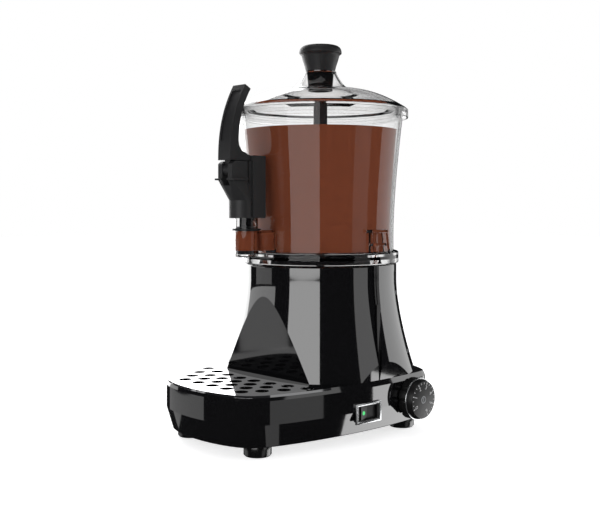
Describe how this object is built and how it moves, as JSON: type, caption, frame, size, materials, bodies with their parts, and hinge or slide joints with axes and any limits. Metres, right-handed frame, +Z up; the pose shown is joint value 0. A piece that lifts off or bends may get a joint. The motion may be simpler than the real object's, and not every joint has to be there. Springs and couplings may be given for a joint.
{
  "type": "hot chocolate dispenser machine",
  "caption": "Counter-top hot drink dispenser with a heated black stand, a clear lift-off bowl and lid, a stirring agitator, a lever tap and a drip tray with a perforated grid.",
  "frame": {"origin": "middle of the footprint, dial included, on the counter; the bowl's axis stands at x = -9.5 mm, y = +46 mm", "axes": "+Z up, -Y towards the tap and the drip tray, +X towards the switch and the dial"},
  "size_m": [0.241, 0.3037, 0.46],
  "materials": {
    "black_gloss": "high-gloss black ABS moulding",
    "black_satin": "satin black moulded plastic",
    "clear": "clear polycarbonate, 4 mm wall",
    "rubber_black": "black rubber",
    "polished_steel": "polished stainless sheet",
    "brushed_steel": "brushed stainless steel",
    "zinc_steel": "zinc-plated steel",
    "element": "sheathed heating element",
    "copper": "copper bulb",
    "ceramic": "phenolic and ceramic electrical body",
    "gearbox_grey": "cast gearbox, grey",
    "nylon": "natural nylon",
    "lens_green": "green indicator lens",
    "dial_black": "black dial with white printed scale"
  },
  "bodies": {
    "stand": {"base_shell_front": "black_gloss", "base_shell_right": "black_gloss", "base_shell_rear": "black_gloss", "base_shell_left": "black_gloss", "base_deck": "black_gloss", "base_rim": "black_gloss", "column_shell": "black_gloss", "rear_cover": "black_gloss", "base_pan": "zinc_steel", "feet": "rubber_black", "foot_screws": "zinc_steel", "cover_screws": "zinc_steel", "water_tank": "brushed_steel", "heating_element": "element", "thermal_cutout": "ceramic", "thermostat": "ceramic", "thermostat_bulb": "copper", "motor_bracket": "zinc_steel", "bracket_posts": "zinc_steel", "gearbox": "gearbox_grey", "motor": "zinc_steel", "motor_screws": "zinc_steel", "shaft_bush": "nylon", "terminal_block": "nylon", "cable_gland": "black_satin", "switch_housing": "black_satin"},
    "switch": {"switch_rocker": "black_gloss", "switch_lens": "lens_green"},
    "dial": {"dial": "dial_black", "dial_spindle": "zinc_steel"},
    "drive": {"drive_shaft": "brushed_steel"},
    "drip_tray": {"drip_tray": "black_satin"},
    "drip_grid": {"drip_grid": "polished_steel"},
    "bowl": {"bowl": "clear", "bowl_floor": "brushed_steel", "floor_gasket": "rubber_black", "tap_tube": "clear", "tap_ring": "rubber_black", "tap_cap": "black_satin", "lever_pin": "brushed_steel", "return_spring": "brushed_steel"},
    "piston": {"tap_piston": "nylon", "piston_rings": "rubber_black"},
    "lever": {"tap_lever": "black_satin"},
    "agitator": {"agitator_sleeve": "brushed_steel", "agitator_paddles": "nylon", "agitator_nut": "black_satin"},
    "lid": {"lid": "clear", "lid_collar": "black_satin", "lid_knob": "black_satin", "lid_screw": "zinc_steel"}
  },
  "joints": [
    {"name": "switch_rock", "type": "hinge", "parent": "stand", "child": "switch", "pos_m": [0.09458, 0.00992, 0.035], "axis": [0, 0, 1], "range_deg": [-16, 0]},
    {"name": "dial_turn", "type": "hinge", "parent": "stand", "child": "dial", "pos_m": [0.1015, 0.083, 0.041], "axis": [1, 0, 0], "range_deg": [0, 270]},
    {"name": "drive_spin", "type": "hinge", "parent": "stand", "child": "drive", "pos_m": [-0.0095, 0.046, 0.15], "axis": [0, 0, 1], "continuous": true},
    {"name": "tray_lift", "type": "slide", "parent": "stand", "child": "drip_tray", "axis": [0, 0, 1], "range_m": [0, 0.08]},
    {"name": "grid_lift", "type": "slide", "parent": "drip_tray", "child": "drip_grid", "axis": [0, 0, 1], "range_m": [0, 0.05]},
    {"name": "bowl_lift", "type": "slide", "parent": "stand", "child": "bowl", "axis": [0, 0, 1], "range_m": [0, 0.2]},
    {"name": "lid_lift", "type": "slide", "parent": "bowl", "child": "lid", "axis": [0, 0, 1], "range_m": [0, 0.12]},
    {"name": "agitator_spin", "type": "hinge", "parent": "bowl", "child": "agitator", "pos_m": [-0.0095, 0.046, 0.25], "axis": [0, 0, 1], "continuous": true},
    {"name": "lever_pull", "type": "hinge", "parent": "bowl", "child": "lever", "pos_m": [-0.0095, -0.0977, 0.305], "axis": [1, 0, 0], "range_deg": [0, 30]},
    {"name": "piston_lift", "type": "slide", "parent": "bowl", "child": "piston", "axis": [0, 0, 1], "range_m": [0, 0.0135], "stiffness_N_per_m": 250, "springref_m": -0.01, "deforming": ["return_spring"]}
  ],
  "couplings": [
    {"joint": "agitator_spin", "follows": "drive_spin", "ratio": 1},
    {"joint": "piston_lift", "follows": "lever_pull", "m_per_rad": 0.024965}
  ]
}
